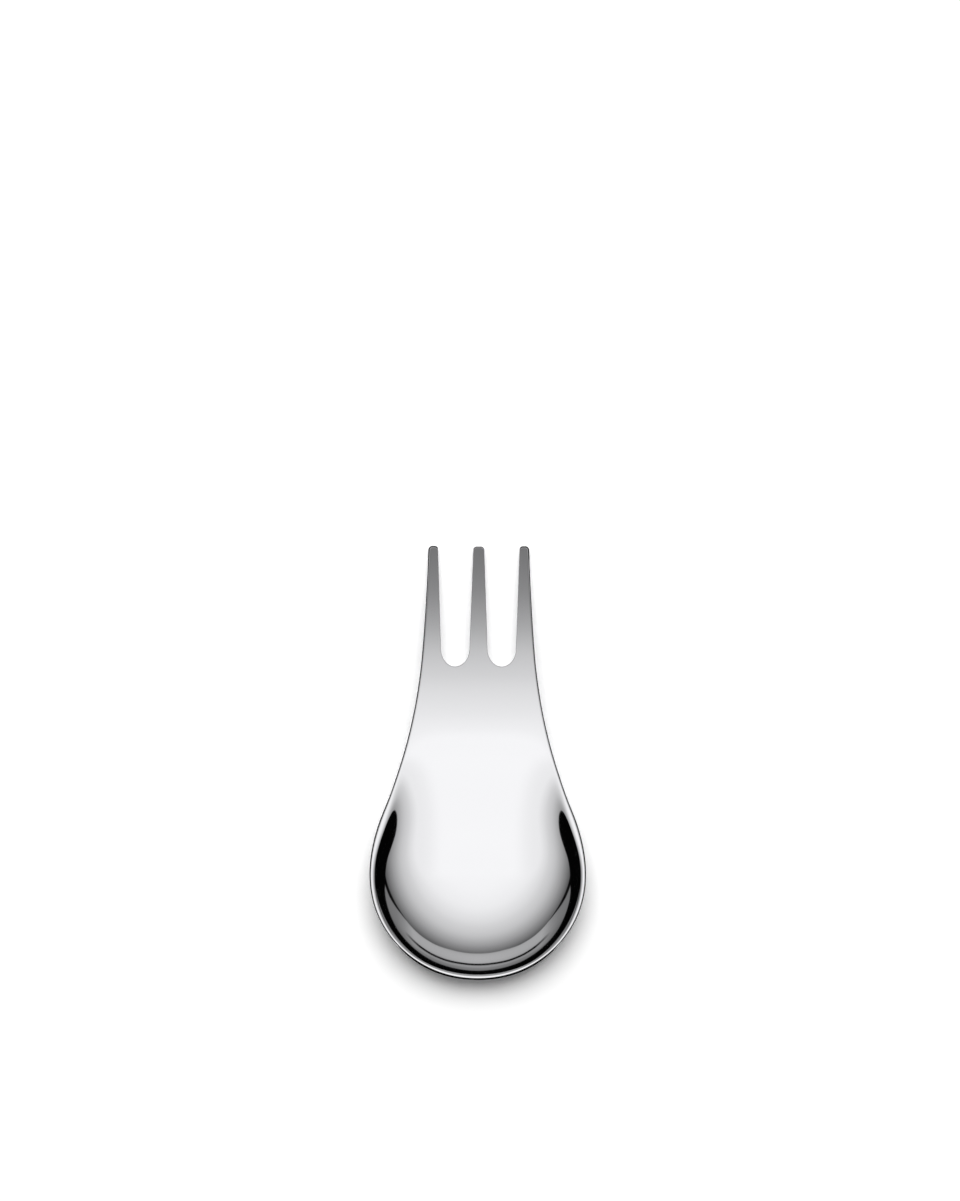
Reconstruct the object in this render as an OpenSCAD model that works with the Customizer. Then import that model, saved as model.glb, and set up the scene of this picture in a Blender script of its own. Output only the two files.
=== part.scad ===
/* [Sheet] */
// Thickness of the steel sheet
sheet_t = 1.4; // [1.2:0.05:1.8]
// Rounding of the outer edge
edge_r = 0.5; // [0.3:0.05:0.55]
// Rounding of the edges in the slots
slot_edge_r = 0.12; // [0.06:0.02:0.3]

/* [Bowl outline] */
// Width of the bowl over its top edges
bowl_w = 42.8; // [38:0.2:48]
// Widest line of the bowl to the lip, along the top face
lip_reach = 20.45; // [18:0.05:23]
// Squareness of the bowl's end, where 2 is an ellipse
lip_power = 2.06; // [2:0.02:2.4]

/* [Neck outline] */
// Widest line of the bowl to the shoulder, where the outline turns from bulging to hollow
shoulder_y = 13.1; // [11:0.1:15]
// Width at the shoulder
shoulder_w = 36.9; // [33:0.1:39]
// How fast each side closes in at the shoulder
shoulder_slope = 0.42; // [0.3:0.01:0.5]
// Widest line of the bowl to the waist of the neck
waist_y = 30.9; // [27:0.1:34]
// Width at the waist
waist_w = 26.1; // [24:0.1:29]
// How fast each side closes in at the waist
waist_slope = 0.21; // [0.1:0.01:0.3]
// Width where the slots begin
root_w = 22.25; // [21:0.05:24]
// How fast each side closes in where the slots begin
root_slope = 0.075; // [0.02:0.005:0.12]

/* [Tines] */
// Widest line of the bowl to the tips of the tines
tip_y = 64.9; // [58:0.1:70]
// Width over the tips
tip_w = 20; // [19:0.05:21.5]
// How fast each side closes in at the tips
tip_slope = 0.045; // [0:0.005:0.1]
// Corner radius of a tip, seen from above
tip_r = 0.75; // [0.6:0.05:0.9]
// Widest line of the bowl to the bottom of the slots
slot_y = 41.15; // [38:0.05:44]
// Middle of the spork to the middle of a slot
slot_x = 4.6; // [4.3:0.05:4.9]
// Width of a slot at its rounded bottom
slot_root_w = 5.6; // [5:0.1:6]
// Width of a slot at the tips
slot_tip_w = 7; // [6.4:0.1:7.2]
// Length of the rounded bottom of a slot
slot_round = 3.45; // [2.5:0.05:5]

/* [Dish] */
// Depth of the bowl under the rim at its sides
side_depth = 5.95; // [4.5:0.05:7]
// Depth of the bowl under the rim at its lip
lip_depth = 5.5; // [4.5:0.05:7]
// How late the floor of the bowl curves up into the wall
wall_power = 3.8; // [3:0.1:5]
// How late the steepest part of the wall begins
rim_power = 8; // [6:0.5:12]
// Share of the wall's height that rises by the rim power
rim_share = 0.05; // [0:0.01:0.15]
// Share of the wall's height that rises evenly, as a shallow hollow over the whole floor
floor_share = 0.08; // [0:0.01:0.2]
// Middle of the bowl to the top of the wall, at the sides
wall_side = 20.6; // [19.5:0.05:21.5]
// Middle of the bowl to the top of the wall, at the lip
wall_lip = 20.8; // [20:0.05:21.5]
// Centre line to the top of the wall, far up the neck
wall_neck = 12; // [11:0.1:14]
// Distance along the neck over which the wall draws in
wall_draw = 16.8; // [12:0.1:20]
// How softly the bowl's round end meets its straighter sides
wall_blend = 1; // [0.5:0.1:2]
// How softly the wall rolls over into the rim
roll = 0.34; // [0.3:0.02:0.5]
// Widest line of the bowl to the start of the ramp up to the neck
ramp_y = -2.5; // [-5:0.5:0]
// Length of the ramp
ramp_length = 35; // [30:0.5:40]

/* [Side profile] */
// Fall of the tines against the neck, as a slope
tine_fall_slope = 0.395; // [0.3:0.005:0.45]
// Widest line of the bowl to the middle of the bend above the tines
bend_y = 43.6; // [40:0.1:46]
// How softly the tines bend down
bend_run = 6.4; // [5:0.1:9]

/* [Hidden] */
steel = [0.80, 0.80, 0.82];

// Cells of the mesh across a tine and across a slot
tine_cells = 4;
slot_cells = 8;
// Rows of the mesh on the bowl's end, from there to the slots, along a tine and round its tip
lip_rows = 18;
body_rows = 30;
tine_rows = 8;
tip_rows = 3;
// Steps of the rounding between a face and the edge
edge_steps = 2;
// How far the columns crowd towards the edges of the bowl, from 0 to 1
crowding_share = 0.75;
// How late the rows bend to follow the slots
row_bend_power = 5;
// Step at which slopes are measured
probe = 0.01;

// Stations of one side: distance from the bowl's widest line, half width, slope
STATIONS = [
    [0, bowl_w / 2, 0],
    [shoulder_y, shoulder_w / 2, -shoulder_slope],
    [waist_y, waist_w / 2, -waist_slope],
    [slot_y + slot_round, root_w / 2, -root_slope],
    [tip_y, tip_w / 2, -tip_slope]
];

TINES = 3;
columns = TINES * tine_cells + (TINES - 1) * slot_cells;
rows = lip_rows + body_rows;
tine_steps = tine_rows + tip_rows;
root_y = slot_y + slot_round;

function mix(a, b, share) = a + (b - a) * share;
function clamp(value) = min(1, max(0, value));
function ease(share) = let (u = clamp(share)) u * u * u * (u * (6 * u - 15) + 10);

// A cubic from one station to the next
function cubic(p, q, y) =
    let (h = q[0] - p[0], u = (y - p[0]) / h, v = 1 - u)
    v * v * (1 + 2 * u) * p[1] + u * u * (1 + 2 * v) * q[1] + u * v * h * (v * p[2] - u * q[2]);

// Half width of the outline at a distance from the bowl's widest line
function half_width(y, k = 0) =
    (k == len(STATIONS) - 2 || y <= STATIONS[k + 1][0])
        ? cubic(STATIONS[k], STATIONS[k + 1], y)
        : half_width(y, k + 1);

// The same, drawn in by an inset that is measured square to the outline
function half_width_in(y, inset) =
    let (slope = (half_width(y + probe) - half_width(y - probe)) / (2 * probe))
    half_width(y) - inset * sqrt(1 + slope * slope);

function slot_half(y) =
    mix(slot_root_w, slot_tip_w, (y - root_y) / (tip_y - root_y)) / 2;

// A ramp that is 0 below zero and the value above it, with a soft corner
function soft(value, run) = max(value, 0) + run * ln(1 + exp(-abs(value) / run));

// Height of the rim line: level round the bowl and along the neck, bending down to the tips
function rim_line(y) = -tine_fall_slope * soft(y - bend_y, bend_run);

// Distance from the middle of the bowl, where 1 is the top of its wall, an ellipse. Up the neck
// the ellipse narrows
function wall_top_x(y) =
    wall_neck + (wall_side - wall_neck) / (1 + pow(soft(y, wall_blend) / wall_draw, 2));
function radius_share(x, y) = norm([x / wall_top_x(y), soft(-y, wall_blend) / wall_lip]);

// Height of the wall at a point, as a share of its full height
function climb_share(radius) =
    floor_share * pow(radius, 2)
    + (1 - floor_share - rim_share) * pow(radius, wall_power)
    + rim_share * pow(radius, rim_power);

// How far a point lies towards the lip, from 0 at the sides to 1 on the centre line
function lip_share(x, y) =
    let (back = min(y, 0))
    back * back / max(x * x + back * back, probe * probe);

// Depth of the dish: the floor's depth, less the wall, which rolls over softly into the rim
function dish_depth(x, y) =
    let (
        deep = side_depth * (1 - ease((y - ramp_y) / ramp_length)),
        rise = deep + (lip_depth - side_depth) * lip_share(x, y)
    )
    deep - rise + soft(rise * (1 - climb_share(radius_share(x, y))), roll);

// Height of the top face, and the direction square to it
function top_z(x, y) = rim_line(y) - dish_depth(x, y);
function unit(v) = v / norm(v);
function square_to(x, y) = unit([
    top_z(x - probe, y) - top_z(x + probe, y),
    top_z(x, y - probe) - top_z(x, y + probe),
    2 * probe
]);

// Which band a column lies in: tines have even numbers and slots odd ones
band_cells = tine_cells + slot_cells;
function band(j) =
    let (pair = floor(j / band_cells), left = j - pair * band_cells)
    left <= tine_cells ? 2 * pair : 2 * pair + 1;

// Insets are shares of each edge's own rounding. Round a tip's corners the slots' rounding grows
// into the outer edge's
function slot_round_r(turn) = mix(slot_edge_r, edge_r, sin(turn));
function tine_left(m, y, inset, turn = 0) =
    m == 0
        ? -half_width_in(y, inset * edge_r)
        : (m == 1 ? -slot_x : slot_x) + slot_half(y) + inset * slot_round_r(turn);
function tine_right(m, y, inset, turn = 0) =
    m == TINES - 1
        ? half_width_in(y, inset * edge_r)
        : (m == 0 ? -slot_x : slot_x) - slot_half(y) - inset * slot_round_r(turn);

// Last row of the body: level across the tines, round the bottom of each slot
function comb_spot(j, inset) =
    let (b = band(j), left = j - floor(j / band_cells) * band_cells)
    b % 2 == 0
        ? [
            mix(
                tine_left(b / 2, root_y, inset),
                tine_right(b / 2, root_y, inset),
                left / tine_cells
            ),
            root_y
        ]
        : let (turn = 180 * (left - tine_cells) / slot_cells, draw = inset * slot_edge_r)
        [
            (b == 1 ? -slot_x : slot_x) - (slot_root_w / 2 + draw) * cos(turn),
            root_y - (slot_round + draw) * sin(turn)
        ];

// A column's share of the half width in the bowl, from -1 to 1
function column_share(j) =
    let (u = 2 * j / columns - 1)
    mix(u, sin(90 * u), crowding_share);

// Place of a node of the body, seen from above
function body_spot(i, j, inset) =
    i <= lip_rows
        ? let (turn = 90 * i / lip_rows)
        [
            column_share(j) * (bowl_w / 2 - inset * edge_r)
                * pow(1 - pow(cos(turn), lip_power), 1 / lip_power),
            -(lip_reach - inset * edge_r) * cos(turn)
        ]
        : let (
            share = (i - lip_rows) / body_rows,
            level = root_y * share,
            last = comb_spot(j, inset),
            w = half_width_in(level, inset * edge_r),
            last_share = last.x / half_width_in(root_y, inset * edge_r),
            across = mix(column_share(j), last_share, ease(share))
        )
        [w * across, level + (last.y - root_y) * pow(share, row_bend_power)];

// Place of a node of a tine, seen from above
function tip_turn(k) = 90 * max(0, k - tine_rows) / tip_rows;
function tine_spot(m, k, j, inset) =
    let (
        straight_end = tip_y - tip_r,
        turn = tip_turn(k),
        round = tip_r - inset * edge_r,
        y = k <= tine_rows
            ? mix(root_y, straight_end, k / tine_rows)
            : straight_end + round * sin(turn),
        draw = round * (1 - cos(turn)),
        edge_y = min(y, straight_end)
    )
    [
        mix(
            tine_left(m, edge_y, inset, turn) + draw,
            tine_right(m, edge_y, inset, turn) - draw,
            j / tine_cells
        ),
        y
    ];

// A node is [tine or -1 for the body, row, column]
function spot(n, inset) =
    n[0] < 0 ? body_spot(n[1], n[2], inset) : tine_spot(n[0], n[1], n[2], inset);
function solid_point(n, inset, depth) =
    let (p = spot(n, inset))
    [p.x, p.y, top_z(p.x, p.y)] - depth * square_to(p.x, p.y);

body_count = 1 + rows * (columns + 1);
function body_id(i, j) = i == 0 ? 0 : 1 + (i - 1) * (columns + 1) + j;
function tine_id(m, k, j) =
    k == 0
        ? body_id(rows, m * band_cells + j)
        : body_count + (m * tine_steps + k - 1) * (tine_cells + 1) + j;
function id(n) = n[0] < 0 ? body_id(n[1], n[2]) : tine_id(n[0], n[1], n[2]);

face_nodes = concat(
    [[-1, 0, 0]],
    [for (i = [1 : rows]) for (j = [0 : columns]) [-1, i, j]],
    [for (m = [0 : TINES - 1]) for (k = [1 : tine_steps]) for (j = [0 : tine_cells]) [m, k, j]]
);

// Nodes round the edge, anticlockwise from the lip
function round_tine(m) = concat(
    [for (k = [1 : tine_steps]) [m, k, tine_cells]],
    [for (j = [tine_cells - 1 : -1 : 0]) [m, tine_steps, j]],
    [for (k = [tine_steps - 1 : -1 : 1]) [m, k, 0]]
);
function round_slot(m) =
    [for (j = [m * band_cells : -1 : m * band_cells - slot_cells]) [-1, rows, j]];
edge_nodes = concat(
    [for (i = [0 : rows]) [-1, i, columns]],
    round_tine(2),
    round_slot(2),
    round_tine(1),
    round_slot(1),
    round_tine(0),
    [for (i = [rows : -1 : 1]) [-1, i, 0]]
);

// Triangles of one face, as seen from above, anticlockwise
function cell(a, b, c, d) = [[a, b, c], [a, c, d]];
face_triangles = concat(
    [for (j = [0 : columns - 1]) [0, body_id(1, j + 1), body_id(1, j)]],
    [
        for (i = [1 : rows - 1]) for (j = [0 : columns - 1])
            each cell(body_id(i, j), body_id(i, j + 1), body_id(i + 1, j + 1), body_id(i + 1, j))
    ],
    [
        for (m = [0 : TINES - 1]) for (k = [0 : tine_steps - 1]) for (j = [0 : tine_cells - 1])
            each cell(
                tine_id(m, k, j),
                tine_id(m, k, j + 1),
                tine_id(m, k + 1, j + 1),
                tine_id(m, k + 1, j)
            )
    ]
);
function turned(triangle) = [triangle[0], triangle[2], triangle[1]];
function shifted(triangle, step) = [for (v = triangle) v + step];

// Rounding of the edge at one of its nodes
function is_outer(n) =
    n[0] < 0
        ? n[2] == 0 || n[2] == columns
        : (n[0] == 0 && n[2] == 0) || (n[0] == TINES - 1 && n[2] == tine_cells);
function rounding(n) = is_outer(n) ? edge_r : slot_round_r(n[0] < 0 ? 0 : tip_turn(n[1]));

// A point of the rounded edge, by its turn from the top face or from the underside
function edge_point(n, turn, under) =
    let (depth = rounding(n) * (1 - cos(turn)))
    solid_point(n, 1 - sin(turn), under ? sheet_t - depth : depth);

// Rings between the two faces: turn of each, and whether it belongs to the underside
RINGS = concat(
    [for (k = [1 : edge_steps]) [90 * k / edge_steps, false]],
    [for (k = [edge_steps : -1 : 1]) [90 * k / edge_steps, true]]
);
face_count = len(face_nodes);
edge_count = len(edge_nodes);
function ring_id(ring, k) =
    let (place = k % edge_count)
    ring < 0
        ? id(edge_nodes[place])
        : ring == len(RINGS)
            ? face_count + id(edge_nodes[place])
            : 2 * face_count + ring * edge_count + place;

flat_points = concat(
    [for (n = face_nodes) solid_point(n, 1, 0)],
    [for (n = face_nodes) solid_point(n, 1, sheet_t)],
    [for (ring = RINGS) for (n = edge_nodes) edge_point(n, ring[0], ring[1])]
);
triangles = concat(
    [for (t = face_triangles) turned(t)],
    [for (t = face_triangles) shifted(t, face_count)],
    [
        for (ring = [-1 : len(RINGS) - 1]) for (k = [0 : edge_count - 1])
            each cell(
                ring_id(ring, k),
                ring_id(ring, k + 1),
                ring_id(ring + 1, k + 1),
                ring_id(ring + 1, k)
            )
    ]
);

// The spork lies on the underside of its bowl and on the tips of its tines
tip_point = flat_points[face_count + tine_id(1, tine_steps, tine_cells / 2)];
keel_points = [for (i = [1 : rows]) flat_points[face_count + body_id(i, columns / 2)]];
rest_slope = max([for (p = keel_points) (tip_point.z - p.z) / (tip_point.y - p.y)]);
rest_turn = -atan(rest_slope);
function lain(p) = [
    p.x,
    p.y * cos(rest_turn) - p.z * sin(rest_turn),
    p.y * sin(rest_turn) + p.z * cos(rest_turn)
];
lain_points = [for (p = flat_points) lain(p)];
middle_y = (max([for (p = lain_points) p.y]) + min([for (p = lain_points) p.y])) / 2;
lowest_z = min([for (p = lain_points) p.z]);

module spork() {
    color(steel)
        polyhedron(
            points = [for (p = lain_points) p - [0, middle_y, lowest_z]],
            faces = triangles
        );
}

spork();
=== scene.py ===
"""A one-piece spork in mirror-polished stainless steel, with the small studio that it lies in.

The sheet's top face is one height function over the outline seen from above. The underside is
the same function one sheet thickness further along the normal. Lengths are in metres.
"""

import math

import bpy
import numpy as np
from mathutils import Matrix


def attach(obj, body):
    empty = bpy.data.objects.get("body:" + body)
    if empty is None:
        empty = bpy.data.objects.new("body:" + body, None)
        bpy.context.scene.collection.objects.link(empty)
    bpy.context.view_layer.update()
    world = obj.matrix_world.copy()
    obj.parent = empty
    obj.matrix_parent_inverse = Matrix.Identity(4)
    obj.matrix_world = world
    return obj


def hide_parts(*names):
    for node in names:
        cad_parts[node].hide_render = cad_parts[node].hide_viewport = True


bl_info = {
    "name": "Polished spork",
    "version": (1, 0, 0),
    "blender": (4, 5, 0),
    "location": "3D View > Sidebar > Spork",
    "description": "Makes a pressed steel spork and the studio it lies in",
    "category": "Add Mesh",
}

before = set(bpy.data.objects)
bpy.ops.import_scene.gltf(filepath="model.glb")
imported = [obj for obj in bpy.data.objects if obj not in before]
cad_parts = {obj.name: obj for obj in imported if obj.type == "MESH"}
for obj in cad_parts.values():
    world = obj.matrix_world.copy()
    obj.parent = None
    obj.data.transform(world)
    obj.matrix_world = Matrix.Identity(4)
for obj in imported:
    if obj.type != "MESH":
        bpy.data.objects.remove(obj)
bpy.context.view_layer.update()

MM = 0.001
NODE = "spork"
BODY = "root"

# The tines, and the cells of the surface across a tine and a slot
TINES = 3
TINE_CELLS = 16
SLOT_CELLS = 20
BAND = TINE_CELLS + SLOT_CELLS
COLUMNS = TINES * TINE_CELLS + (TINES - 1) * SLOT_CELLS
# Rows on the bowl's end, from there to the slots, along a tine and round its tip
LIP_ROWS = 70
BODY_ROWS = 150
TINE_ROWS = 50
TIP_ROWS = 10
ROWS = LIP_ROWS + BODY_ROWS
TINE_STEPS = TINE_ROWS + TIP_ROWS
# Steps of the rounding between a face and the edge
EDGE_STEPS = 6
# How far the columns crowd towards the edges, and how late the rows bend round the slots
CROWDING_SHARE = 0.75
ROW_BEND_POWER = 5
# Step at which slopes are measured
PROBE = 0.002 * MM


def linear(value):
    """The linear colour of an sRGB hex value such as "c8c9cc"."""
    parts = [int(value[k:k + 2], 16) / 255 for k in (0, 2, 4)]
    return [c / 12.92 if c <= 0.04045 else ((c + 0.055) / 1.055) ** 2.4 for c in parts]


def length(name, text, millimetres):
    """A length property in metres, whose default is given in millimetres."""
    return bpy.props.FloatProperty(
        name=name, description=text, default=millimetres * MM, unit="LENGTH", precision=5
    )


def number(name, text, value):
    """A property without a unit."""
    return bpy.props.FloatProperty(name=name, description=text, default=value)


def angle(name, text, degrees):
    """An angle property whose default is given in degrees."""
    return bpy.props.FloatProperty(
        name=name, description=text, default=math.radians(degrees), unit="ROTATION"
    )


def colour(name, text, value):
    """A colour property whose default is given as an sRGB hex value."""
    return bpy.props.FloatVectorProperty(
        name=name, description=text, default=linear(value), size=3, subtype="COLOR", min=0, max=1
    )


class SporkSizes(bpy.types.PropertyGroup):
    """Sizes of the pressed sheet. Distances along it start at the bowl's widest line."""

    sheet: length("Sheet", "Thickness of the steel sheet", 1.4)
    edge: length("Edge rounding", "Rounding of the outer edge", 0.5)
    slot_edge: length("Slot edge rounding", "Rounding of the edges in the slots", 0.12)
    bowl_w: length("Bowl width", "Width of the bowl over its top edges", 42.8)
    lip_reach: length("Lip reach", "Widest line to the lip", 20.45)
    lip_power: number("Lip squareness", "Squareness of the bowl's end, 2 is an ellipse", 2.06)
    shoulder_y: length("Shoulder", "Widest line to the shoulder", 13.1)
    shoulder_w: length("Shoulder width", "Width at the shoulder", 36.9)
    shoulder_slope: number("Shoulder slope", "How fast a side closes in there", 0.42)
    waist_y: length("Waist", "Widest line to the waist of the neck", 30.9)
    waist_w: length("Waist width", "Width at the waist", 26.1)
    waist_slope: number("Waist slope", "How fast a side closes in there", 0.21)
    root_w: length("Root width", "Width where the slots begin", 22.25)
    root_slope: number("Root slope", "How fast a side closes in there", 0.075)
    tip_y: length("Tips", "Widest line to the tips of the tines", 64.9)
    tip_w: length("Tip width", "Width over the tips", 20)
    tip_slope: number("Tip slope", "How fast a side closes in there", 0.045)
    tip_r: length("Tip corners", "Corner radius of a tip, seen from above", 0.75)
    slot_y: length("Slot bottom", "Widest line to the bottom of the slots", 41.15)
    slot_x: length("Slot place", "Middle of the spork to the middle of a slot", 4.6)
    slot_root_w: length("Slot width", "Width of a slot at its rounded bottom", 5.6)
    slot_tip_w: length("Slot mouth", "Width of a slot at the tips", 7)
    slot_round: length("Slot round", "Length of the rounded bottom of a slot", 3.45)
    side_depth: length("Depth", "Depth of the bowl under the rim at its sides", 5.95)
    lip_depth: length("Depth at the lip", "Depth of the bowl under the rim at its lip", 5.5)
    wall_power: number("Wall power", "How late the floor curves up into the wall", 3.8)
    rim_power: number("Rim power", "How late the steepest part of the wall begins", 8)
    rim_share: number("Rim share", "Share of the wall that rises by the rim power", 0.05)
    floor_share: number("Floor share", "Share of the wall that rises over the whole floor", 0.08)
    wall_side: length("Wall at the sides", "Middle of the bowl to the top of the wall", 20.6)
    wall_lip: length("Wall at the lip", "Middle of the bowl to the top of the wall", 20.8)
    wall_neck: length("Wall in the neck", "Centre line to the top of the wall", 12)
    wall_draw: length("Wall draw", "Distance over which the wall draws in", 16.8)
    wall_blend: length("Wall blend", "How softly the round end meets the sides", 1)
    roll: length("Rim roll", "How softly the wall rolls over into the rim", 0.22)
    ramp_y: length("Ramp start", "Widest line to the start of the ramp", -2.5)
    ramp: length("Ramp", "Length of the ramp from the bowl up to the neck", 35)
    fall_slope: number("Tine fall", "Fall of the tines against the neck", 0.395)
    bend_y: length("Tine bend", "Widest line to the middle of the bend", 43.6)
    bend_run: length("Bend softness", "How softly the tines bend down", 6.4)


class StudioLook(bpy.types.PropertyGroup):
    """Colour of the floor, levels of the lights, and how the lamp and the tent lean."""

    floor: colour("Floor", "Colour of the floor", "fdfdfd")
    lift: number("Floor lift", "White that the camera sees on the floor besides its colour", 0.1)
    room: number("Room light", "Level of the light from all round", 0.11)
    lamp: number("Lamp", "Strength of the lamp above the tines, in watts per square metre", 3.41)
    lamp_width: angle("Lamp width", "How wide the lamp looks from the spork", 53)
    lamp_tilt: angle("Lamp tilt", "Lean of the lamp towards the tines", 35)
    tent_tilt: angle("Tent tilt", "Lean of the tent's opening towards the lip", 29.4)


def ease(share):
    """Smootherstep of a share, clamped to 0 and 1: 6u^5 - 15u^4 + 10u^3."""
    u = np.clip(share, 0, 1)
    return u ** 3 * (u * (6 * u - 15) + 10)


def soft(value, run):
    """A ramp that is 0 below zero and the value above it, with a soft corner of the given run."""
    return run * np.logaddexp(0, value / run)


def cubic(start, end, y):
    """The cubic between two stations (distance, half width, slope) that keeps their slopes."""
    step = end[0] - start[0]
    u = (y - start[0]) / step
    v = 1 - u
    ends = v * v * (1 + 2 * u) * start[1] + u * u * (1 + 2 * v) * end[1]
    return ends + u * v * step * (v * start[2] - u * end[2])


def half_width(y, s):
    """Half the outline's width at y: cubics from the bowl through shoulder, waist and root."""
    stations = [
        (0, s.bowl_w / 2, 0),
        (s.shoulder_y, s.shoulder_w / 2, -s.shoulder_slope),
        (s.waist_y, s.waist_w / 2, -s.waist_slope),
        (s.slot_y + s.slot_round, s.root_w / 2, -s.root_slope),
        (s.tip_y, s.tip_w / 2, -s.tip_slope),
    ]
    width = cubic(stations[0], stations[1], y)
    for start, end in zip(stations[1:], stations[2:]):
        width = np.where(y > start[0], cubic(start, end, y), width)
    return width


def half_width_in(y, inset, s):
    """Half width drawn in by an inset that is measured square to the outline."""
    slope = (half_width(y + PROBE, s) - half_width(y - PROBE, s)) / (2 * PROBE)
    return half_width(y, s) - inset * np.sqrt(1 + slope ** 2)


def slot_half(y, s):
    """Half a slot's width, which grows evenly from its rounded bottom to the tips."""
    root = s.slot_y + s.slot_round
    return (s.slot_root_w + (s.slot_tip_w - s.slot_root_w) * (y - root) / (s.tip_y - root)) / 2


def top_z(x, y, s):
    """Height of the top face.

    The rim line is level and bends down along the tines. The dish hangs from it. Its wall
    climbs with the distance from the middle, where 1 is the top of the wall, an ellipse: a
    little by the square, most of it by the wall power, and the rest by the rim power. At the
    top it rolls over softly into the rim. Up the neck the ellipse narrows, and the floor rises
    along a smooth ramp.
    """
    side = s.wall_neck + (s.wall_side - s.wall_neck) / (
        1 + (soft(y, s.wall_blend) / s.wall_draw) ** 2)
    radius = np.hypot(x / side, soft(-y, s.wall_blend) / s.wall_lip)
    climb = (
        s.floor_share * radius ** 2
        + (1 - s.floor_share - s.rim_share) * radius ** s.wall_power
        + s.rim_share * radius ** s.rim_power
    )
    back = np.minimum(y, 0)
    lip_share = back ** 2 / np.maximum(x ** 2 + back ** 2, PROBE ** 2)
    deep = s.side_depth * (1 - ease((y - s.ramp_y) / s.ramp))
    rise = deep + (s.lip_depth - s.side_depth) * lip_share
    rim_line = -s.fall_slope * soft(y - s.bend_y, s.bend_run)
    return rim_line - deep + rise - soft(rise * (1 - climb), s.roll)


def square_to(x, y, s):
    """Unit vectors square to the top face, from the height's differences over a small step."""
    across = top_z(x - PROBE, y, s) - top_z(x + PROBE, y, s)
    along = top_z(x, y - PROBE, s) - top_z(x, y + PROBE, s)
    normals = np.stack([across, along, np.full(np.shape(x), 2 * PROBE)], -1)
    return normals / np.linalg.norm(normals, axis=-1, keepdims=True)


def in_sheet(flat, depth, s):
    """Points of the sheet over places seen from above: a depth under the top face, square to it."""
    x, y = flat[..., 0], flat[..., 1]
    return np.stack([x, y, top_z(x, y, s)], -1) - depth * square_to(x, y, s)


def tine_sides(tine, y, inset, s):
    """Both sides of a tine, drawn in by a share of each edge's own rounding."""
    outer = half_width_in(y, inset * s.edge, s)
    inner = slot_half(y, s) + inset * s.slot_edge
    left = (-outer, inner - s.slot_x, inner + s.slot_x)[tine]
    right = (-inner - s.slot_x, s.slot_x - inner, outer)[tine]
    return left, right


def comb_line(inset, s):
    """Last row of the body: level across each tine, half an ellipse round each slot's bottom."""
    root = s.slot_y + s.slot_round
    x = np.zeros(COLUMNS + 1)
    y = np.full(COLUMNS + 1, root)
    for tine in range(TINES):
        left, right = tine_sides(tine, np.array(root), inset, s)
        x[tine * BAND:tine * BAND + TINE_CELLS + 1] = np.linspace(left, right, TINE_CELLS + 1)
    turn = np.linspace(0, np.pi, SLOT_CELLS + 1)
    draw = inset * s.slot_edge
    for slot, middle in enumerate((-s.slot_x, s.slot_x)):
        part = slice(slot * BAND + TINE_CELLS, slot * BAND + BAND + 1)
        x[part] = middle - (s.slot_root_w / 2 + draw) * np.cos(turn)
        y[part] = root - (s.slot_round + draw) * np.sin(turn)
    return x, y


def body_grid(inset, s):
    """Bowl and neck seen from above, as rows of columns.

    A place is a row's half width times a column's share, which runs from -1 to 1 and crowds
    towards both edges. On the bowl's end the rows follow a superellipse. Towards the slots the
    shares shift to the tines' places, and the rows bend round the slots' bottoms.
    """
    even = np.linspace(-1, 1, COLUMNS + 1)
    share = (1 - CROWDING_SHARE) * even + CROWDING_SHARE * np.sin(np.pi / 2 * even)
    draw = inset * s.edge
    turn = np.linspace(0, np.pi / 2, LIP_ROWS + 1)[:, None]
    lean = np.clip(np.cos(turn), 0, 1)
    wide = (s.bowl_w / 2 - draw) * (1 - lean ** s.lip_power) ** (1 / s.lip_power)
    reach = np.broadcast_to(-(s.lip_reach - draw) * lean, (LIP_ROWS + 1, COLUMNS + 1))
    end = np.stack([wide * share, reach], -1)

    root = s.slot_y + s.slot_round
    along = (np.arange(1, BODY_ROWS + 1) / BODY_ROWS)[:, None]
    comb_x, comb_y = comb_line(inset, s)
    comb_share = comb_x / half_width_in(np.array(root), draw, s)
    shares = share + (comb_share - share) * ease(along)
    x = half_width_in(root * along, draw, s) * shares
    y = root * along + (comb_y - root) * along ** ROW_BEND_POWER
    return np.concatenate([end, np.stack([x, y], -1)])


def tip_turn():
    """How far each row of a tine has turned round the tip's corners, from 0 to a quarter turn."""
    step = np.arange(TINE_STEPS + 1)
    return np.pi / 2 * np.maximum(0, step - TINE_ROWS) / TIP_ROWS


def tine_grid(tine, inset, s):
    """A tine seen from above: straight sides, then corners drawn in along quarter circles."""
    root = s.slot_y + s.slot_round
    straight_end = s.tip_y - s.tip_r
    turn = tip_turn()
    corner = s.tip_r - inset * s.edge
    along = np.minimum(np.arange(TINE_STEPS + 1) / TINE_ROWS, 1)
    y = root + (straight_end - root) * along
    left, right = tine_sides(tine, y, inset, s)
    y = y + corner * np.sin(turn)
    draw = corner * (1 - np.cos(turn))
    grown = inset * (s.edge - s.slot_edge) * np.sin(turn)
    left = left + draw + grown * (tine > 0)
    right = right - draw - grown * (tine < TINES - 1)
    x = left[:, None] + (right - left)[:, None] * np.linspace(0, 1, TINE_CELLS + 1)
    return np.stack([x, np.broadcast_to(y[:, None], x.shape)], -1)


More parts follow.
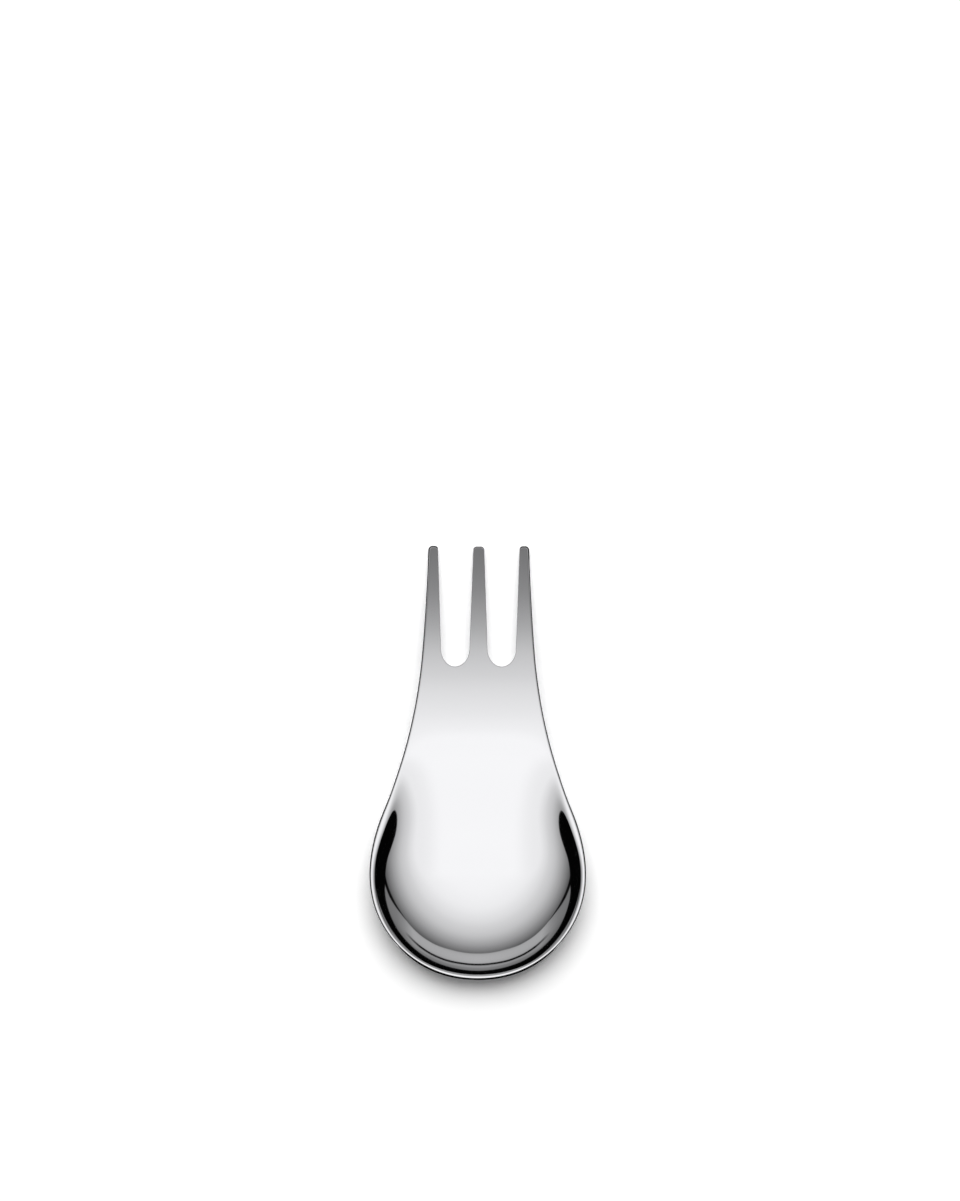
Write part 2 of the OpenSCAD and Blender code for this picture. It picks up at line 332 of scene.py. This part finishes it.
def vertex_numbers():
    """Vertex numbers of one face: the body's grid, whose first row is one point, and the tines."""
    body = np.arange(ROWS * (COLUMNS + 1)).reshape(ROWS, -1) + 1
    body = np.concatenate([np.zeros((1, COLUMNS + 1), int), body])
    count = body.max() + 1
    tines = []
    for tine in range(TINES):
        own = np.arange(TINE_STEPS * (TINE_CELLS + 1)).reshape(TINE_STEPS, -1) + count
        first = body[ROWS:, tine * BAND:tine * BAND + TINE_CELLS + 1]
        tines.append(np.concatenate([first, own]))
        count = own.max() + 1
    return body, tines, count


def edge_loop(body, tines):
    """Vertex numbers round the edge, anticlockwise from the lip."""
    parts = [body[:, -1]]
    for tine in reversed(range(TINES)):
        grid = tines[tine]
        parts += [grid[1:, -1], grid[-1, -2::-1], grid[-2:0:-1, 0]]
        if tine > 0:
            parts.append(body[ROWS, tine * BAND - SLOT_CELLS:tine * BAND + 1][::-1])
    parts.append(body[:0:-1, 0])
    return np.concatenate(parts)


def edge_rounding(body, tines, count, s):
    """Rounding at each vertex: the slots' own in the slots, growing into the outer edge's."""
    rounding = np.full(count, s.edge)
    grown = s.slot_edge + (s.edge - s.slot_edge) * np.sin(tip_turn())
    for tine in range(TINES - 1):
        rounding[tines[tine][:, -1]] = grown
        rounding[tines[tine + 1][:, 0]] = grown
        rounding[body[ROWS, tine * BAND + TINE_CELLS:(tine + 1) * BAND + 1]] = s.slot_edge
    return rounding


def quads(grid):
    """Four-sided faces of a grid of vertex numbers, anticlockwise seen from above."""
    corners = [grid[:-1, :-1], grid[:-1, 1:], grid[1:, 1:], grid[1:, :-1]]
    return np.stack(corners, -1).reshape(-1, 4)


def laid_down(points, keel, tip):
    """Turned about the X axis until keel and tip touch z = 0, and centred on the origin.

    The turn is the steepest line from a point of the keel to the tip.
    """
    turn = -math.atan(((tip[2] - keel[:, 2]) / (tip[1] - keel[:, 1])).max())
    y = points[:, 1] * math.cos(turn) - points[:, 2] * math.sin(turn)
    z = points[:, 1] * math.sin(turn) + points[:, 2] * math.cos(turn)
    return np.stack([points[:, 0], y - (y.max() + y.min()) / 2, z - z.min()], -1)


def pressed_sheet(s):
    """Points and faces of the whole sheet: top face, underside and the edge between them.

    The edge's rings turn from each face to the sheet's cut edge along quarter circles.
    """
    body, tines, count = vertex_numbers()
    loop = edge_loop(body, tines)
    rounding = edge_rounding(body, tines, count, s)[loop][:, None]

    def seen_from_above(inset):
        grid = body_grid(inset, s)
        tips = [tine_grid(tine, inset, s)[1:].reshape(-1, 2) for tine in range(TINES)]
        return np.concatenate([grid[0, :1], grid[1:].reshape(-1, 2)] + tips)

    face = seen_from_above(1)
    turns = np.pi / 2 * np.arange(1, EDGE_STEPS + 1) / EDGE_STEPS
    rings = [(seen_from_above(1 - math.sin(turn))[loop], 1 - math.cos(turn)) for turn in turns]
    parts = [in_sheet(face, 0, s), in_sheet(face, s.sheet, s)]
    parts += [in_sheet(flat, rounding * share, s) for flat, share in rings]
    parts += [in_sheet(flat, s.sheet - rounding * share, s) for flat, share in rings[::-1]]
    keel = parts[1][body[1:, COLUMNS // 2]]
    tip = parts[1][tines[1][-1, TINE_CELLS // 2]]
    points = laid_down(np.concatenate(parts), keel, tip)

    top = np.concatenate([quads(body[1:])] + [quads(grid) for grid in tines])
    fan = np.stack([np.zeros(COLUMNS, int), body[1, 1:], body[1, :-1]], -1)
    lines = [loop]
    lines += [2 * count + k * len(loop) + np.arange(len(loop)) for k in range(2 * EDGE_STEPS)]
    lines.append(loop + count)
    strips = [
        np.stack([a, b, np.roll(b, -1), np.roll(a, -1)], -1) for a, b in zip(lines, lines[1:])
    ]
    four = np.concatenate([top, (top + count)[:, ::-1]] + strips)
    three = np.concatenate([fan, (fan + count)[:, ::-1]])
    return points, four, three


def mesh_object(name, points, four, three):
    """A smooth mesh object from arrays of points and of four- and three-sided faces."""
    mesh = bpy.data.meshes.new(name)
    mesh.vertices.add(len(points))
    mesh.vertices.foreach_set("co", points.astype(np.float32).ravel())
    corners = np.concatenate([four.ravel(), three.ravel()]).astype(np.int32)
    totals = np.concatenate([np.full(len(four), 4), np.full(len(three), 3)])
    starts = np.cumsum(totals) - totals
    mesh.loops.add(len(corners))
    mesh.loops.foreach_set("vertex_index", corners)
    mesh.polygons.add(len(totals))
    mesh.polygons.foreach_set("loop_start", starts.astype(np.int32))
    mesh.polygons.foreach_set("use_smooth", np.ones(len(totals), bool))
    mesh.update(calc_edges=True)
    if mesh.validate():
        raise RuntimeError(name + " has faulty faces")
    made = bpy.data.objects.new(name, mesh)
    bpy.context.scene.collection.objects.link(made)
    return made


def add(tree, kind, settings, **links):
    """Adds a shader node, sets its properties and sockets, and links other nodes to it.

    A key of settings is a property's name, or a socket's name or number. A link's key is a
    socket's name with underscores for spaces, or its number after an underscore.
    """
    node = tree.nodes.new(kind)
    for key, value in settings.items():
        if isinstance(key, str) and key in node.bl_rna.properties:
            setattr(node, key, value)
        else:
            node.inputs[key].default_value = value
    for key, output in links.items():
        place = int(key[1:]) if key[1:].isdigit() else key.replace("_", " ")
        tree.links.new(output, node.inputs[place])
    return node


def empty_tree(block):
    """The emptied node tree of a material or world."""
    block.use_nodes = True
    block.node_tree.nodes.clear()
    return block.node_tree


# Colour of the bare steel
STEEL = "f2f2f4"
# Clouds of slightly softer polish, and the part of the noise's range over which they form
CLOUD_SIZE = 9 * MM
CLOUD_DETAIL = 3
CLOUD_RANGE = (0.35, 0.75)
# Buffing hairlines that run along the spork, drawn coarser than real ones so that they show
HAIR_SPACING = 0.3 * MM
HAIR_LENGTH = 12 * MM
HAIR_DETAIL = 2
# Roughness of the mirror and of its clouds, and what the hairlines add
MIRROR_ROUGHNESS = 0.02
CLOUD_ROUGHNESS = 0.05
HAIR_ROUGHNESS = 0.03


def mirror_polished_stainless():
    """Stainless steel sheet, pressed, deburred and buffed to a mirror.

    A bright, very slightly cool grey metal. Buffing leaves faint clouds of softer polish and
    fine hairlines, which show as small changes of gloss and never as colour.
    """
    material = bpy.data.materials.new("mirror_polished_stainless")
    tree = empty_tree(material)
    place = add(tree, "ShaderNodeTexCoord", {}).outputs["Object"]
    clouds = add(
        tree, "ShaderNodeTexNoise", {"Scale": 1 / CLOUD_SIZE, "Detail": CLOUD_DETAIL},
        Vector=place,
    ).outputs["Fac"]
    stretched = add(
        tree, "ShaderNodeMapping", {"Scale": (1 / HAIR_SPACING, 1 / HAIR_LENGTH, 1 / HAIR_SPACING)},
        Vector=place,
    ).outputs[0]
    hairs = add(
        tree, "ShaderNodeTexNoise", {"Scale": 1, "Detail": HAIR_DETAIL}, Vector=stretched
    ).outputs["Fac"]
    softer = add(
        tree, "ShaderNodeMapRange",
        {
            "From Min": CLOUD_RANGE[0], "From Max": CLOUD_RANGE[1],
            "To Min": MIRROR_ROUGHNESS, "To Max": CLOUD_ROUGHNESS,
        },
        Value=clouds,
    ).outputs[0]
    roughness = add(
        tree, "ShaderNodeMath", {"operation": "MULTIPLY_ADD", 1: HAIR_ROUGHNESS},
        _0=hairs, _2=softer,
    ).outputs[0]
    shader = add(
        tree, "ShaderNodeBsdfPrincipled", {"Base Color": (*linear(STEEL), 1), "Metallic": 1},
        Roughness=roughness,
    )
    add(tree, "ShaderNodeOutputMaterial", {}, Surface=shader.outputs[0])
    return material


class SPORK_OT_sheet(bpy.types.Operator):
    """Makes the pressed sheet: bowl, neck and three tines in one piece"""

    bl_idname = "spork.sheet"
    bl_label = "Pressed sheet"

    def execute(self, context):
        piece = mesh_object("pressed_spork", *pressed_sheet(context.scene.spork_sizes))
        piece.data.materials.append(mirror_polished_stainless())
        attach(piece, BODY)
        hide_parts(NODE)
        return {"FINISHED"}


# The light tent, which only polished metal shows: a dome, and a black skirt just above the
# floor that comes in to an ellipse round the spork
TENT_RADIUS = 4
SKIRT_LIFT = 0.5 * MM
SKIRT_INNER = (23.5 * MM, 45.5 * MM)
DOME_ROWS = 48
SKIRT_ROWS = 24
TENT_SEGMENTS = 128
# The tent's tables are read by straight lines between their points. Greys are 8-bit levels and
# angles are degrees. "Off" is the angle from the middle of the tent's opening, "out" is how far
# to the left or right a place of the tent is, from 0 to 1, and "along" is how far towards the
# tines, from -1 to 1.
# The white opening that falls to grey, by off
OPENING = [
    (0, 246), (14, 245), (20, 245), (22.5, 243), (25, 239), (28, 235), (32, 226), (36, 218),
    (40, 208), (44, 201), (48, 193), (52, 181), (56, 167), (60, 153), (64, 135), (66, 127),
    (68, 117), (70, 105), (72, 93), (74, 82), (90, 80),
]
# The brightest that the opening gets, by out, and how softly the two tables meet
OPENING_OUT = [
    (0, 255), (0.1, 248), (0.16, 243), (0.26, 237), (0.36, 234), (0.46, 233), (0.55, 228),
    (0.63, 222), (0.7, 211), (0.78, 197), (0.84, 180), (1, 150),
]
SOFTNESS = 0.04
# Two grey cards side by side past the opening, by off, and the grey that dims them, by out
CARDS = [
    (70, 150), (72, 160), (74, 168), (77, 172), (82, 172), (86, 166), (90.4, 147),
    (92.5, 144), (94, 127), (96, 121), (97.5, 110), (98.2, 0), (110, 0),
]
CARDS_OUT = [(0, 255), (0.4, 246), (0.7, 240), (0.8, 200), (0.87, 178), (0.95, 169), (1, 160)]
# Angles off where the opening ends and where the cards begin, by out
OPENING_END = [
    (0, 71.2), (0.28, 71.6), (0.45, 73.5), (0.6, 73.9), (0.68, 73.5), (0.76, 72.4),
    (0.83, 71.9), (0.9, 72.4), (0.95, 73.4), (1, 74),
]
CARDS_START = [
    (0, 71.2), (0.28, 71.6), (0.45, 73.5), (0.6, 73.9), (0.68, 73.6), (0.76, 72.8),
    (0.83, 73.5), (0.88, 74.8), (0.93, 76.4), (1, 78),
]
# The dark seam between the cards: its angle off and the share of light in it, by out, and half
# its width
SEAM = [
    (0, 88.2), (0.18, 88.3), (0.36, 89.2), (0.53, 89.1), (0.65, 88.1), (0.75, 86.4), (1, 86),
]
SEAM_LIGHT = [(0, 0), (0.64, 0), (0.74, 0.4), (0.8, 1), (1, 1)]
SEAM_HALF = 1.5
# Angle from straight up where the tent turns black above the floor, by along
HORIZON = [
    (-1, 69), (-0.47, 70.8), (-0.4, 72.4), (-0.3, 74), (-0.12, 74.4), (0, 75.4), (0.05, 76.5),
    (0.15, 77.4), (0.31, 77.5), (0.45, 77.3), (0.57, 76), (0.68, 74.4), (0.77, 73),
    (0.85, 71.8), (0.92, 70.9), (1, 70.5),
]
# Degrees over which each border is blurred
BLUR = 1
# Makes up for the light that the steel swallows, and the trace of light in the black parts
TENT_STRENGTH = 1.13
BLACK_LEVEL = 0.001
# Degrees in half a turn
HALF_TURN = 180


def tent_surface():
    """The dome's rings from the top down to the floor, then the skirt's rings inwards.

    A dome ring is a circle, whose radius and height are the sine and cosine of its angle. A
    skirt ring is an ellipse between the dome's foot and the skirt's inner edge, on a
    geometric scale, so that the rings are dense near the spork.
    """
    around = np.linspace(0, 2 * np.pi, TENT_SEGMENTS, endpoint=False)
    circle = np.stack([np.cos(around), np.sin(around)], -1)
    down = np.linspace(0, np.pi / 2, DOME_ROWS + 1)[1:, None, None]
    inwards = (np.arange(1, SKIRT_ROWS + 1) / SKIRT_ROWS)[:, None, None]
    dome_reach = np.broadcast_to(TENT_RADIUS * np.sin(down), (DOME_ROWS, 1, 2))
    skirt_reach = TENT_RADIUS * (np.array(SKIRT_INNER) / TENT_RADIUS) ** inwards
    reach = np.concatenate([dome_reach, skirt_reach])
    height = np.full((len(reach), TENT_SEGMENTS, 1), SKIRT_LIFT)
    height[:DOME_ROWS] = np.maximum(TENT_RADIUS * np.cos(down), SKIRT_LIFT)
    rings = np.concatenate([circle * reach, height], -1)
    points = np.concatenate([[[0, 0, TENT_RADIUS]], rings.reshape(-1, 3)])
    numbers = np.arange(height.size).reshape(len(rings), -1) + 1
    numbers = np.concatenate([numbers, numbers[:, :1]], 1)
    cap = np.stack([np.zeros(TENT_SEGMENTS, int), numbers[0, :-1], numbers[0, 1:]], -1)
    return points, quads(numbers), cap


def level(grey):
    """Linear brightness of an 8-bit grey."""
    return linear("%02x" % grey * 3)[0]


def levels(table, unit):
    """A table's places in another unit, with the greys as linear brightness."""
    return [(place / unit, level(grey)) for place, grey in table]


def turns(table):
    """A table with its angles as shares of half a turn."""
    return [(place, degrees / HALF_TURN) for place, degrees in table]


def draw_curve(node, table):
    """Draws straight lines through a table's points on a Float Curve, from place 0 to 1."""
    line = node.mapping.curves[0]
    line.points[0].location = table[0]
    line.points[1].location = table[-1]
    for place, result in table[1:-1]:
        line.points.new(place, result)
    for point in line.points:
        point.handle_type = "VECTOR"
    node.mapping.update()


def tent_cloth(tilt):
    """Glowing cloth of the tent, by the direction from its middle, and black near the floor.

    The opening is the soft minimum of its two tables. The cards are the product of theirs, and
    the seam dims them. Angles are shares of half a turn.
    """
    material = bpy.data.materials.new("tent_cloth")
    tree = empty_tree(material)
    place = add(tree, "ShaderNodeTexCoord", {}).outputs["Object"]
    way = add(tree, "ShaderNodeVectorMath", {"operation": "NORMALIZE"}, _0=place).outputs[0]
    across, along, _ = add(tree, "ShaderNodeSeparateXYZ", {}, Vector=way).outputs
    out = add(tree, "ShaderNodeMath", {"operation": "ABSOLUTE"}, _0=across).outputs[0]
    angles = []
    for middle in ((0, -math.sin(tilt), math.cos(tilt)), (0, 0, 1)):
        cosine = add(
            tree, "ShaderNodeVectorMath", {"operation": "DOT_PRODUCT", 1: middle}, _0=way
        ).outputs["Value"]
        turn = add(tree, "ShaderNodeMath", {"operation": "ARCCOSINE"}, _0=cosine).outputs[0]
        angles.append(add(
            tree, "ShaderNodeMath", {"operation": "DIVIDE", 1: math.pi}, _0=turn
        ).outputs[0])
    off, down = angles

    found = []
    for value, table in (
        (off, levels(OPENING, HALF_TURN)),
        (out, levels(OPENING_OUT, 1)),
        (out, turns(OPENING_END)),
        (off, levels(CARDS, HALF_TURN)),
        (out, levels(CARDS_OUT, 1)),
        (out, turns(CARDS_START)),
        (out, turns(SEAM)),
        (out, SEAM_LIGHT),
        (along, turns(HORIZON)),
    ):
        low, high = table[0][0], table[-1][0]
        share = add(
            tree, "ShaderNodeMapRange", {"From Min": low, "From Max": high}, Value=value
        ).outputs[0]
        line = add(tree, "ShaderNodeFloatCurve", {}, Value=share)
        draw_curve(line, [((place - low) / (high - low), result) for place, result in table])
        found.append(line.outputs[0])
    opening, brightest, opening_end, cards, dimmer, cards_start = found[:6]
    seam, seam_light, horizon = found[6:]

    past = []
    for turned, border in (
        (off, opening_end), (off, cards_start), (off, seam), (down, horizon),
    ):
        past.append(add(
            tree, "ShaderNodeMath", {"operation": "SUBTRACT"}, _0=turned, _1=border
        ).outputs[0])
    past_opening, past_start, past_seam, past_horizon = past
    from_seam = add(tree, "ShaderNodeMath", {"operation": "ABSOLUTE"}, _0=past_seam).outputs[0]

    edge = BLUR / 2 / HALF_TURN
    half = SEAM_HALF / HALF_TURN
    at_border = {"From Min": -edge, "From Max": edge}
    at_seam = {"From Min": half - edge, "From Max": half + edge}
    white = add(
        tree, "ShaderNodeMath", {"operation": "SMOOTH_MIN", 2: SOFTNESS}, _0=opening, _1=brightest
    ).outputs[0]
    white = add(
        tree, "ShaderNodeMapRange", {**at_border, "To Max": 0}, Value=past_opening, To_Min=white
    ).outputs[0]
    grey = add(
        tree, "ShaderNodeMath", {"operation": "MULTIPLY"}, _0=cards, _1=dimmer
    ).outputs[0]
    grey = add(
        tree, "ShaderNodeMapRange", at_border, Value=past_start, To_Max=grey
    ).outputs[0]
    seam_share = add(
        tree, "ShaderNodeMapRange", at_seam, Value=from_seam, To_Min=seam_light
    ).outputs[0]
    lit = add(
        tree, "ShaderNodeMath", {"operation": "MULTIPLY_ADD"}, _0=grey, _1=seam_share, _2=white
    ).outputs[0]
    lit = add(
        tree, "ShaderNodeMapRange", {**at_border, "To Max": 0}, Value=past_horizon, To_Min=lit
    ).outputs[0]
    strength = add(
        tree, "ShaderNodeMath",
        {"operation": "MULTIPLY_ADD", 1: TENT_STRENGTH, 2: BLACK_LEVEL}, _0=lit,
    ).outputs[0]
    glow = add(tree, "ShaderNodeEmission", {"Color": (1, 1, 1, 1)}, Strength=strength)
    add(tree, "ShaderNodeOutputMaterial", {}, Surface=glow.outputs[0])
    return material


def light_tent(look):
    """The tent, seen by reflections alone, so it neither lights the floor nor hides the view."""
    tent = mesh_object("light_tent", *tent_surface())
    tent.data.materials.append(tent_cloth(look.tent_tilt))
    tent.visible_camera = False
    tent.visible_diffuse = False
    tent.visible_transmission = False
    tent.visible_shadow = False


def looked_at(tree):
    """1 for what the camera sees, straight or by way of metal or glass, and 0 for other rays."""
    path = add(tree, "ShaderNodeLightPath", {})
    seen = path.outputs["Is Camera Ray"]
    for kind in ("Is Glossy Ray", "Is Transmission Ray"):
        seen = add(
            tree, "ShaderNodeMath", {"operation": "ADD", "use_clamp": True},
            _0=seen, _1=path.outputs[kind],
        ).outputs[0]
    return seen


def studio_world(look):
    """White where the camera, metal or glass looks past everything, and soft light elsewhere."""
    world = bpy.data.worlds.new("studio")
    bpy.context.scene.world = world
    tree = empty_tree(world)
    strength = add(
        tree, "ShaderNodeMapRange", {"To Min": look.room, "To Max": 1}, Value=looked_at(tree)
    ).outputs[0]
    light = add(tree, "ShaderNodeBackground", {"Color": (1, 1, 1, 1)}, Strength=strength)
    add(tree, "ShaderNodeOutputWorld", {}, Surface=light.outputs[0])


# Side of the square floor
FLOOR_SIZE = 4


def studio_floor(look):
    """The plain pale floor, a sheet of matt paper that takes the shadow.

    The lift makes its lit parts come out white in the picture, with no more light on the spork.
    """
    half = FLOOR_SIZE / 2
    corners = np.array([[-half, -half, 0], [half, -half, 0], [half, half, 0], [-half, half, 0]])
    floor = mesh_object("floor", corners, np.array([[0, 1, 2, 3]]), np.zeros((0, 3), int))
    material = bpy.data.materials.new("matt_paper")
    tree = empty_tree(material)
    paper = add(tree, "ShaderNodeBsdfDiffuse", {"Color": (*look.floor, 1)})
    lift = add(
        tree, "ShaderNodeMapRange", {"To Max": look.lift}, Value=looked_at(tree)
    ).outputs[0]
    white = add(tree, "ShaderNodeEmission", {"Color": (1, 1, 1, 1)}, Strength=lift)
    both = add(tree, "ShaderNodeAddShader", {}, _0=paper.outputs[0], _1=white.outputs[0])
    add(tree, "ShaderNodeOutputMaterial", {}, Surface=both.outputs[0])
    floor.data.materials.append(material)


def studio_lamp(look):
    """A wide far lamp that leans towards the tines, so that the soft shadow falls past the lip."""
    light = bpy.data.lights.new("lamp", "SUN")
    light.energy = look.lamp
    light.angle = look.lamp_width
    lamp = bpy.data.objects.new("lamp", light)
    lamp.rotation_euler = (-look.lamp_tilt, 0, 0)
    lamp.visible_glossy = False
    bpy.context.scene.collection.objects.link(lamp)


# The photograph is taken from straight above, with its middle beside the spork's own
CAMERA_HEIGHT = 900 * MM
CAMERA_PLACE = (0.27 * MM, 32.2 * MM)
CAMERA_ROLL = math.radians(0.18)
# Level at which the view is as high as given here, and the sensor's long side
MEASURED_LEVEL = 5 * MM
VIEW_HEIGHT = 238 * MM
SENSOR = 36


def studio_camera():
    """The camera above the spork, with the tines towards the top of the picture."""
    data = bpy.data.cameras.new("camera")
    data.sensor_width = SENSOR
    data.lens = SENSOR * CAMERA_HEIGHT / VIEW_HEIGHT
    camera = bpy.data.objects.new("camera", data)
    camera.location = (*CAMERA_PLACE, CAMERA_HEIGHT + MEASURED_LEVEL)
    camera.rotation_euler = (0, 0, CAMERA_ROLL)
    bpy.context.scene.collection.objects.link(camera)
    bpy.context.scene.camera = camera


class SPORK_OT_studio(bpy.types.Operator):
    """Makes the stage: pale floor, lamp, light tent and the camera above"""

    bl_idname = "spork.studio"
    bl_label = "Studio"

    def execute(self, context):
        look = context.scene.spork_studio
        studio_world(look)
        studio_floor(look)
        studio_lamp(look)
        light_tent(look)
        studio_camera()
        context.scene.view_settings.view_transform = "Standard"
        return {"FINISHED"}


class SPORK_PT_panel(bpy.types.Panel):
    """Lists the spork's steps, sizes and lights in the sidebar"""

    bl_idname = "SPORK_PT_panel"
    bl_label = "Spork"
    bl_space_type = "VIEW_3D"
    bl_region_type = "UI"
    bl_category = "Spork"

    def draw(self, context):
        steps = ((SPORK_OT_sheet, "spork_sizes"), (SPORK_OT_studio, "spork_studio"))
        for operator, settings in steps:
            box = self.layout.box()
            box.operator(operator.bl_idname)
            group = getattr(context.scene, settings)
            for name in group.__annotations__:
                box.prop(group, name)


CLASSES = (SporkSizes, StudioLook, SPORK_OT_sheet, SPORK_OT_studio, SPORK_PT_panel)


def register():
    """Registers the classes and hangs the settings on the scene."""
    for kind in CLASSES:
        bpy.utils.register_class(kind)
    bpy.types.Scene.spork_sizes = bpy.props.PointerProperty(type=SporkSizes)
    bpy.types.Scene.spork_studio = bpy.props.PointerProperty(type=StudioLook)


def unregister():
    """Takes the settings and the classes away again."""
    del bpy.types.Scene.spork_studio
    del bpy.types.Scene.spork_sizes
    for kind in reversed(CLASSES):
        bpy.utils.unregister_class(kind)


def main():
    register()
    bpy.ops.spork.sheet()
    bpy.ops.spork.studio()


if __name__ == "__main__":
    main()
